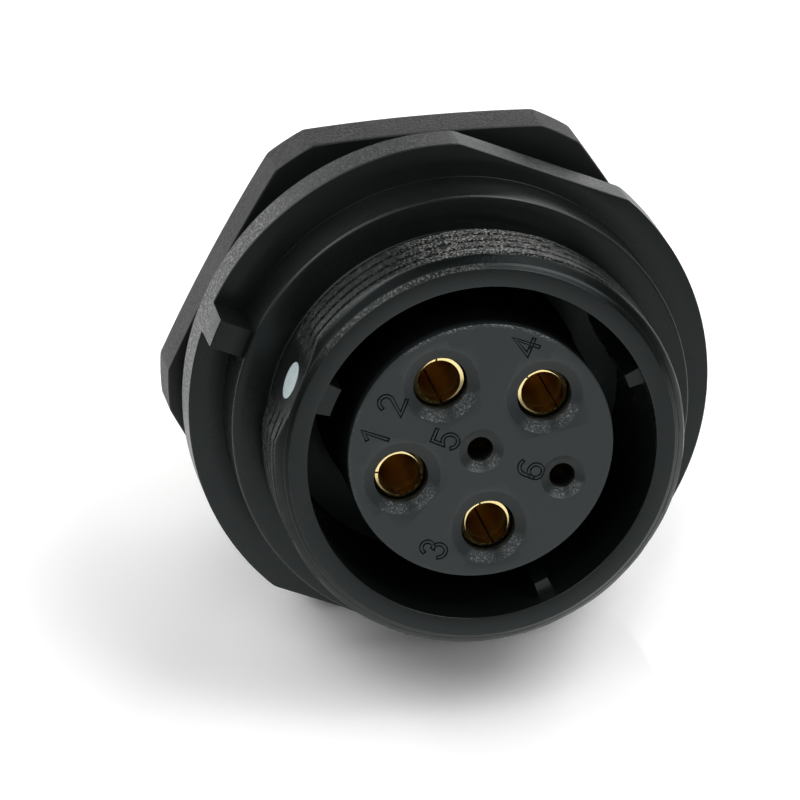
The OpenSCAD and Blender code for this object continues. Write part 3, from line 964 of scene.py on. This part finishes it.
# Each number is a stroke between two grooves: place to the key's right and along it, then its paths
STROKE_OUT = 0.13
STROKE_IN = 0.045
DIGIT_SCALE = 0.84
DIGITS = {
    1: ((-0.98, 5.65), [[(-0.32, 0.42), (0.06, 0.8), (0.06, -0.8)]]),
    2: ((0.93, 5.49), [arc_points((0.0, 0.37), 0.43, 165.0, -35.0) + [(-0.44, -0.8), (0.5, -0.8)]]),
    3: ((-5.85, 0.3), [
        arc_points((0.0, 0.42), 0.38, 160.0, -80.0) + arc_points((0.0, -0.36), 0.44, 80.0, -160.0)]),
    4: ((6.11, 0.06), [
        [(0.2, -0.8), (0.2, 0.8), (-0.5, -0.36), (-0.05, -0.36)], [(0.05, -0.36), (0.52, -0.36)]]),
    5: ((0.0, 2.02), [
        [(0.42, 0.8), (-0.3, 0.8), (-0.36, 0.06)]
        + arc_points((0.0, -0.3), (0.45, 0.5), 120.0, -150.0)]),
    6: ((-0.14, -2.91), [
        arc_points((0.08, 0.25), (0.5, 0.55), 60.0, 170.0, 8)
        + arc_points((0.0, -0.33), 0.45, 178.0, 530.0, 20)]),
}

# The edge's and the dishes' pale flecks are partly painted glints; the dishes' shade is painted shade
# Finishes of the insert: strength, middle, reach and fade, in degrees round the axis or a contact
EDGE_GRAIN = 2.2
EDGE_FLASH_AND_GLINTS = ((1.0, 88.0, 42.0, 14.0), (0.35, 175.0, 30.0, 14.0))
EDGE_WAVES = (11.0, 29.0)
DISH_PAINTED_GLINTS = ((1.0, 256.0, 34.0, 22.0), (1.0, 315.0, 34.0, 22.0))
DISH_SHADE = 0.4
DISH_SHADE_LOSS = 0.3


def contact_place(number):
    """Place (x, z) of a contact in millimetres, from its bore's mount."""
    kind = CONTACTS[number]["kind"]
    x, _, z = mounts[f"{kind}_socket_{number}_bore"]["pos_m"]
    return x / MM, z / MM


def dish_arc(contact):
    """Part of a sphere from the hole's edge out past the insert's face."""
    width = contact["dish"]
    ball = (width * width + DISH_DEPTH * DISH_DEPTH) / (2 * DISH_DEPTH)
    centre = FACE_Z + ball - DISH_DEPTH
    radii = np.linspace(contact["hole"], width + DISH_OVER, 8)
    return [(r, centre - math.sqrt(ball * ball - r * r)) for r in radii]


def contact_hole(number, contact):
    """Cutter for a contact's hole, its dish and the pocket of its collar."""
    pocket = contact["r"] + CONTACT_COLLAR + FIT
    pocket_z = COLLAR_Z + COLLAR_HALF + FIT
    outline = [(0.0, COLLAR_Z - CLEAR), (pocket, COLLAR_Z - CLEAR), (pocket, pocket_z)]
    body = contact["r"] + FIT
    if contact is SIGNAL:
        step_z = contact["lip"] + FIT
        outline += [(body, pocket_z), (body, step_z), (contact["hole"], step_z)]
    else:
        outline += [(contact["hole"], pocket_z)]
    arc = dish_arc(contact)
    outline += arc + [(arc[-1][0], FACE_Z + CLEAR), (0.0, FACE_Z + CLEAR)]
    return turned_piece(f"hole_{number}", outline, centre=contact_place(number))


def stroke_outline(path, half):
    """Outline of an even stroke along a path, with square ends that reach past it."""
    path = [np.array(point, float) for point in path]
    for end, inner in ((0, 1), (-1, -2)):
        along = path[end] - path[inner]
        path[end] = path[end] + along * half / np.linalg.norm(along)
    left, right = [], []
    for i, point in enumerate(path):
        ahead = path[min(i + 1, len(path) - 1)] - point
        behind = point - path[max(i - 1, 0)]
        ahead = ahead / (np.linalg.norm(ahead) or 1.0)
        behind = behind / (np.linalg.norm(behind) or 1.0)
        along = ahead + behind
        along = along / np.linalg.norm(along)
        side = np.array([-along[1], along[0]])
        turn = abs(float(np.dot(along, ahead if i + 1 < len(path) else behind)))
        reach = half / max(turn, 0.55)
        left.append(point + side * reach)
        right.append(point - side * reach)
    return left + right[::-1]


def digit_cutters():
    """Cutters for the grooves of the numbers."""
    made = []
    for number, (place, strokes) in DIGITS.items():
        for k, stroke in enumerate(strokes):
            stroke = [(x * DIGIT_SCALE, y * DIGIT_SCALE) for x, y in stroke]
            loops = []
            for half in (STROKE_OUT, STROKE_IN):
                outline = stroke_outline(stroke, half)
                loops.append([from_key(place[0] + x, place[1] + y) for x, y in outline])
            made.append(ring_prism(f"digit_{number}_{k}", *loops, FACE_Z + 0.5, FACE_Z - ENGRAVED))
    return made


def mark_insert(mesh):
    """Marks the ragged fin round the face's edge, partly painted glints, and the dishes' painted shade
    and glints.
    """
    points = np.array([vertex.co for vertex in mesh.vertices]) / MM
    x, height, z = points[:, 0], -points[:, 1], points[:, 2]
    grain, shade = np.zeros(len(points)), np.zeros(len(points))
    turn = np.degrees(np.arctan2(z, x))
    coarse, fine = (np.sin(np.radians(turn * waves)) for waves in EDGE_WAVES)
    ragged = 0.6 + 0.4 * coarse * fine
    # Fin on the face's edge, at the top and left; its pale flecks are partly painted glints
    flash_and_glint = ragged * sum(patch(turn, *place) for place in EDGE_FLASH_AND_GLINTS)
    edge = (np.hypot(x, z) > INSERT_R - 0.2) & (height > FACE_Z - 0.05)
    grain[edge] = EDGE_GRAIN * flash_and_glint[edge]
    for number, contact in CONTACTS.items():
        contact_x, contact_z = contact_place(number)
        away = np.hypot(x - contact_x, z - contact_z)
        inside = (away < contact["dish"] - 0.02) & (height > FACE_Z - DISH_DEPTH)
        turn = np.degrees(np.arctan2(z - contact_z, x - contact_x))
        # Painted glints on each dish's lower sides, painted shade on the rest of it
        painted_glint = sum(patch(turn, *place) for place in DISH_PAINTED_GLINTS)
        grain[inside] = painted_glint[inside]
        shade[inside] = DISH_SHADE - DISH_SHADE_LOSS * np.clip(painted_glint, 0.0, 1.0)[inside]
    mark(mesh, "grain", grain)
    mark(mesh, "shade", shade)


def contact_insert():
    """Grey disc with holes, numbers and the groove of its seal."""
    groove_front, groove_back = SEAL_Z + SEAL_HALF, SEAL_Z - SEAL_HALF
    side = [(INSERT_EDGE_R, FACE_Z), (INSERT_R, FACE_Z), (INSERT_R, PARTITION_Z), (COLLAR_R, PARTITION_Z)]
    side += [(COLLAR_R, groove_front), (SEAL_R, groove_front)]
    side += [(SEAL_R, groove_back), (COLLAR_R, groove_back)]
    side += [(COLLAR_R, COLLAR_Z), (COLLAR_FACE_R, COLLAR_Z)]
    outline = [(0.0, FACE_Z)] + [(radius, FACE_Z) for radius in INSERT_FACE_R]
    outline += rounded(side, INSERT_EDGE) + [(0.0, COLLAR_Z)]
    insert = turned_piece("contact_insert_disc", outline, 240)
    holes = [contact_hole(number, contact) for number, contact in CONTACTS.items()]
    cut_away(insert, holes, SHARP_INSERT)
    cut_away(insert, digit_cutters(), SHARP_INSERT, crossing=True)
    mark_insert(insert.data)
    dress(insert, insert_slate, "receptacle", "insert", "contact_insert")


# Sockets

WHOLE_BOX = ((-1, -1), (1, -1), (1, 1), (-1, 1))
HALF_BOX = ((-1, 0), (1, 0), (1, 1), (-1, 1))


def lead_in(number, bore, lip):
    """Shape of a socket's mouth, whose lead-in runs out on one side."""
    def shaped(radius, height, angle):
        if height < lip - 0.01 or radius > bore + 0.01:
            return radius, height
        place = (LEAD_IN_TURN[number], LEAD_IN["reach"], LEAD_IN["fade"])
        wide = patch(np.degrees(angle), 1.0, *place)
        if radius < bore + LIP_ROW / 2:
            return radius, height - wide * LEAD_IN["fall"]
        return radius + wide * LEAD_IN["width"] * (bore / POWER["bore"]), height
    return shaped


def socket_outline(contact):
    """Outline of a contact: bore, lip, collar and the solder cup behind."""
    r, bore, lip, end = contact["r"], contact["bore"], contact["lip"], contact["end"]
    collar = r + CONTACT_COLLAR
    collar_front, collar_back = COLLAR_Z + COLLAR_HALF, COLLAR_Z - COLLAR_HALF
    floor = lip - contact["depth"]
    cup, cup_floor = r - CUP_WALL, end + CUP_DEPTH
    mouth = [(0.0, floor - DRILL_POINT * bore), (bore, floor), (bore, lip - 0.5), (bore, lip),
             (bore + LIP_ROW, lip)]
    outside = [(bore + 2 * LIP_ROW, lip), (r, lip - LIP_FALL), (r, collar_front), (collar, collar_front),
               (collar, collar_back), (r, collar_back), (r, end), (cup, end), (cup, cup_floor)]
    return mouth + rounded(outside, CONTACT_EDGE, 4) + [(0.0, cup_floor + CUP_POINT * cup)]


def socket_cutters(number, contact):
    """Cutters for a contact's slot and the open side of its solder cup."""
    r, lip, end = contact["r"], contact["lip"], contact["end"]
    place = contact_place(number)
    along, side = heading(SLOT_TURN[number])
    slot = [tuple(place + u * 2 * r * along + v * SLOT_W / 2 * side) for u, v in WHOLE_BOX]
    slot_floor = lip - contact["depth"] * SLOT_SHARE
    out, side = heading(KEY + CUP_TURN[number])
    opening = [tuple(place + 2 * r * (u * side + v * out)) for u, v in HALF_BOX]
    return [prism("slot", slot, lip + CLEAR, slot_floor),
            prism("cup_opening", opening, end + CUP_OPEN, end - CLEAR)]


def socket_piece(number, contact):
    """Turned contact with a split socket in front and a solder cup behind."""
    node = f"{contact['kind']}_socket_{number}"
    shaped = lead_in(number, contact["bore"], contact["lip"])
    outline = socket_outline(contact)
    socket = turned_piece(f"{node}_turned", outline, centre=contact_place(number), shaped=shaped)
    cut_away(socket, socket_cutters(number, contact), SHARP_SOCKET)
    dress(socket, gold, "receptacle", "gold_contact", node)


# White polarity dot on the strip over the key

DOT_R = 0.98
DOT_Z = 8.65
DOT_T = 0.05
DOT_SUNK = 0.05
DOT_COLUMNS = 48


def polarity_dot():
    """Blob of paint from rings of (radius, height over the strip)."""
    rings = [(0.5 * DOT_R, DOT_T), (0.92 * DOT_R, 0.92 * DOT_T), (DOT_R, 0.4 * DOT_T)]
    rings += [(DOT_R, -DOT_SUNK)]
    turn = math.radians(KEY)
    out = np.array([math.cos(turn), 0.0, math.sin(turn)])
    tangent = np.array([-math.sin(turn), 0.0, math.cos(turn)])
    forward = np.array([0.0, -1.0, 0.0])
    base = out * STRIP_FLAT + forward * DOT_Z
    points = [base + out * DOT_T]
    for radius, lift in rings:
        for i in range(DOT_COLUMNS):
            a = 2 * math.pi * i / DOT_COLUMNS
            points.append(base + out * lift + radius * (math.cos(a) * tangent + math.sin(a) * forward))
    faces = [(0, 1 + i, 1 + (i + 1) % DOT_COLUMNS) for i in range(DOT_COLUMNS)]
    for ring in range(len(rings) - 1):
        low = 1 + ring * DOT_COLUMNS
        high = low + DOT_COLUMNS
        for i in range(DOT_COLUMNS):
            j = (i + 1) % DOT_COLUMNS
            faces.append((low + i, high + i, high + j, low + j))
    faces.append(tuple(range(len(points) - DOT_COLUMNS, len(points))))
    dot = closed_piece("polarity_dot", points, faces, SHARP_DOT)
    dress(dot, dot_white, "receptacle", "shell")


# Stage, light and camera

FLOOR_NORMAL = Vector((0.0, -0.2, 0.98)).normalized()
FLOOR_POINT = Vector((0.0, 0.0, -FLANGE_R)) * MM
FLOOR_SIZE = 1.2
FLOOR_WHITE = 0.9
FLOOR_MIRRORED = 0.1
FLOOR_SEEN = 0.35
FLOOR_ROUGH = 0.06
FLOOR_IOR = 1.5
CAMERA_AT = Vector((-55.55, -291.28, 118.5)) * MM
CAMERA_AIM = Vector((-3.2, -5.0, 1.07)) * MM
CAMERA_ROLL = -1.69
CAMERA_LENS = 270.0
CAMERA_SENSOR = 36.0
CAMERA_NEAR = 0.01

# Soft lamps round the connector: direction from +X towards +Y and height in degrees, size and power
LAMP_AWAY = 280.0
LAMPS = {
    "right_front": (315.0, 52.0, 110.0, 0.2),
    "right": (0.0, 52.0, 130.0, 0.17),
    "right_back": (45.0, 52.0, 180.0, 0.21),
    "left_back": (135.0, 48.0, 180.0, 0.19),
    "left": (180.0, 48.0, 130.0, 0.16),
    "front_left": (238.0, 38.0, 240.0, 0.3),
    "right_front_low": (315.0, 32.0, 110.0, 0.14),
}

# Walls of the surround: how far up and round they are white, and how bright
SURROUND = 0.06
WALL_TOP = (0.45, 0.2)
WALLS = {"back": (0.75, 0.97), "front": (-0.75, 0.15)}


def floor_material():
    """White glossy table, a little whiter as the camera sees it and in mirrors."""
    material, tree, shader, _ = new_material("white_table")
    tree.nodes.remove(shader)
    path = add(tree, "LightPath").outputs
    mirrored = math_node(tree, "MAXIMUM", path["Is Glossy Ray"], path["Is Transmission Ray"])
    white = scaled(tree, mirrored, FLOOR_MIRRORED, FLOOR_WHITE)
    white = scaled(tree, path["Is Camera Ray"], FLOOR_SEEN, white)
    matt = add(tree, "BsdfDiffuse", {"Color": white}).outputs["BSDF"]
    gloss = add(tree, "BsdfGlossy", {"Roughness": FLOOR_ROUGH}).outputs["BSDF"]
    mirror = add(tree, "Fresnel", {"IOR": FLOOR_IOR}).outputs["Fac"]
    coated = add(tree, "MixShader", {0: mirror, 1: matt, 2: gloss}).outputs["Shader"]
    tree.links.new(coated, tree.nodes["Material Output"].inputs["Surface"])
    return material


def facing(way, axis):
    """Turn that points an object's axis along a way."""
    return way.to_track_quat(axis, "Y").to_matrix().to_4x4()


def table_floor():
    """White table under the connector, tilted as in the photo."""
    mesh = bpy.data.meshes.new("table_floor")
    half = FLOOR_SIZE / 2
    corners = [(-half, -half, 0), (half, -half, 0), (half, half, 0), (-half, half, 0)]
    mesh.from_pydata(corners, [], [(0, 1, 2, 3)])
    floor = link(bpy.data.objects.new("table_floor", mesh))
    floor.matrix_world = Matrix.Translation(FLOOR_POINT) @ facing(FLOOR_NORMAL, "Z")
    mesh.materials.append(floor_material())


def soft_lamp(name, turn, rise, size, power):
    """Square soft lamp, which looks at the connector."""
    data = bpy.data.lights.new(name, "AREA")
    data.shape = "SQUARE"
    data.size = size * MM
    data.energy = power
    lamp = link(bpy.data.objects.new(name, data))
    turn, rise = math.radians(turn), math.radians(rise)
    way = Vector((math.cos(rise) * math.cos(turn), math.cos(rise) * math.sin(turn), math.sin(rise)))
    lamp.matrix_world = Matrix.Translation(way * LAMP_AWAY * MM) @ facing(-way, "-Z")


def studio_light():
    """Dim surround with a white wall low behind, a faint one in front, and the lamps."""
    world = bpy.data.worlds.new("studio")
    bpy.context.scene.world = world
    world.use_nodes = True
    tree = world.node_tree
    back = tree.nodes["Background"]
    look = add(tree, "SeparateXYZ", {"Vector": add(tree, "TexCoord").outputs["Generated"]}).outputs
    soft = {"interpolation_type": "SMOOTHSTEP"}
    low = ramp(tree, look["Z"], *WALL_TOP, **soft)
    level = SURROUND
    for far, bright in WALLS.values():
        side = ramp(tree, look["Y"], 0.0, far, **soft)
        wall = math_node(tree, "MULTIPLY", side, low)
        level = scaled(tree, wall, bright, level)
    tree.links.new(level, back.inputs["Strength"])
    back.inputs["Color"].default_value = (1.0, 1.0, 1.0, 1.0)
    for name, setting in LAMPS.items():
        soft_lamp(name, *setting)


def camera():
    data = bpy.data.cameras.new("camera")
    data.lens = CAMERA_LENS
    data.sensor_width = CAMERA_SENSOR
    data.clip_start = CAMERA_NEAR
    thing = link(bpy.data.objects.new("camera", data))
    look = facing(CAMERA_AIM - CAMERA_AT, "-Z")
    roll = Matrix.Rotation(math.radians(CAMERA_ROLL), 4, "Z")
    thing.matrix_world = Matrix.Translation(CAMERA_AT) @ look @ roll
    bpy.context.scene.camera = thing


# Assembly of the scene

shell_black = plastic(
    "shell_black", colour=(0.0042, 0.0052, 0.005), worn_and_glint=(0.42, 0.42, 0.4),
    satin=0.28, grained=0.32, flecked=(0.48, 0.74), cool=0.1)
nut_black = plastic(
    "nut_black", colour=(0.0042, 0.005, 0.005), worn_and_glint=(0.1, 0.1, 0.096),
    satin=0.34, grained=0.48, flecked=(0.42, 0.68))
insert_slate = plastic(
    "insert_slate", colour=(0.021, 0.0275, 0.0275), worn_and_glint=(0.2, 0.21, 0.21),
    satin=0.4, grained=0.34, flecked=(0.48, 0.76), fine=12000.0, painted_shade_behind=FACE_Z)
insulator_grey = plastic(
    "insulator_grey", colour=(0.022, 0.025, 0.027), worn_and_glint=(0.03, 0.033, 0.035),
    satin=0.45, grained=0.5, shaded=False)
gold = gold_plate()
dot_white = white_paint()

receptacle_shell()
panel_nut()
contact_insert()
for number, contact in CONTACTS.items():
    socket_piece(number, contact)
polarity_dot()

cad_looks = {"rear_insulator": insulator_grey, "retaining_ring": spring_steel()}
cad_looks["panel_gasket"] = cad_looks["insert_seal"] = rubber()
for node_name, material in cad_looks.items():
    materials = frame["nodes"][node_name].data.materials
    materials.clear()
    materials.append(material)

table_floor()
studio_light()
camera()
bpy.context.scene.view_settings.view_transform = "Standard"
